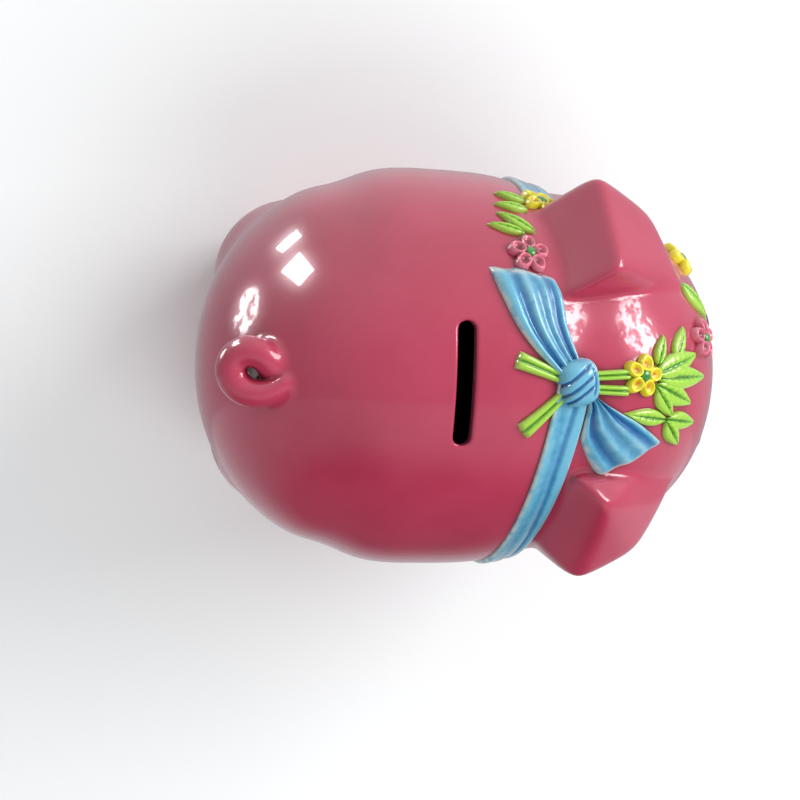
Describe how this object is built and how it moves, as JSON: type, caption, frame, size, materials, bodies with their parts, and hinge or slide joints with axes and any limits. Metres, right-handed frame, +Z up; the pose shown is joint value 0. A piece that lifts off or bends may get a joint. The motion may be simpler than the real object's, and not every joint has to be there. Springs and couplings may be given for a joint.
{
  "type": "piggy bank",
  "caption": "Round glazed ceramic pig money bank with a coin slot across its back, a ribbon bow, sprigged flowers and leaves, and a pull-out rubber stopper in the belly.",
  "frame": {"origin": "On the surface that the feet stand on, under the centre of the bounding box.", "axes": "+X from the tail to the snout, +Y to the pig's left, +Z up, with the pig standing on its four feet."},
  "size_m": [0.184, 0.1364, 0.1485],
  "materials": {
    "pink_glaze": "high-gloss glaze",
    "rose_glaze": "high-gloss glaze",
    "yellow_glaze": "high-gloss glaze",
    "green_glaze": "high-gloss glaze",
    "dark_green_glaze": "high-gloss glaze",
    "blue_glaze": "high-gloss glaze",
    "black_glaze": "high-gloss glaze",
    "rubber": "matt"
  },
  "bodies": {
    "bank": {"body_shell": "pink_glaze", "leg_front_left": "pink_glaze", "leg_front_right": "pink_glaze", "leg_rear_left": "pink_glaze", "leg_rear_right": "pink_glaze", "ear_left": "pink_glaze", "ear_right": "pink_glaze", "snout": "pink_glaze", "eye_left": "black_glaze", "eye_right": "black_glaze", "tail": "pink_glaze", "ribbon_band": "blue_glaze", "bow_knot": "blue_glaze", "bow_tail_left": "blue_glaze", "bow_tail_right": "blue_glaze", "stem_rear_left": "green_glaze", "stem_rear_right": "green_glaze", "stems_front": "green_glaze", "yellow_flower_crown": "yellow_glaze", "yellow_crown_centre": "dark_green_glaze", "pink_flower_brow": "rose_glaze", "pink_brow_centre": "dark_green_glaze", "yellow_flower_temple": "yellow_glaze", "yellow_temple_centre": "dark_green_glaze", "pink_flower_nape": "rose_glaze", "pink_nape_centre": "dark_green_glaze", "yellow_flower_nape": "yellow_glaze", "yellow_nape_centre": "dark_green_glaze", "leaf_crown_small": "green_glaze", "leaf_crown_tall": "green_glaze", "leaf_crown_broad": "green_glaze", "leaf_crown_low": "green_glaze", "leaf_side_back": "green_glaze", "leaf_side_front": "green_glaze", "leaf_side_down": "green_glaze", "leaf_temple": "green_glaze", "leaf_nape_long": "green_glaze", "leaf_nape_wide": "green_glaze", "leaf_nape_upper": "green_glaze", "leaf_nape_outer": "green_glaze"},
    "stopper": {"rubber_stopper": "rubber"}
  },
  "joints": [
    {"name": "stopper_pull", "type": "slide", "parent": "bank", "child": "stopper", "axis": [0, 0, -1], "range_m": [0, 0.04]}
  ]
}
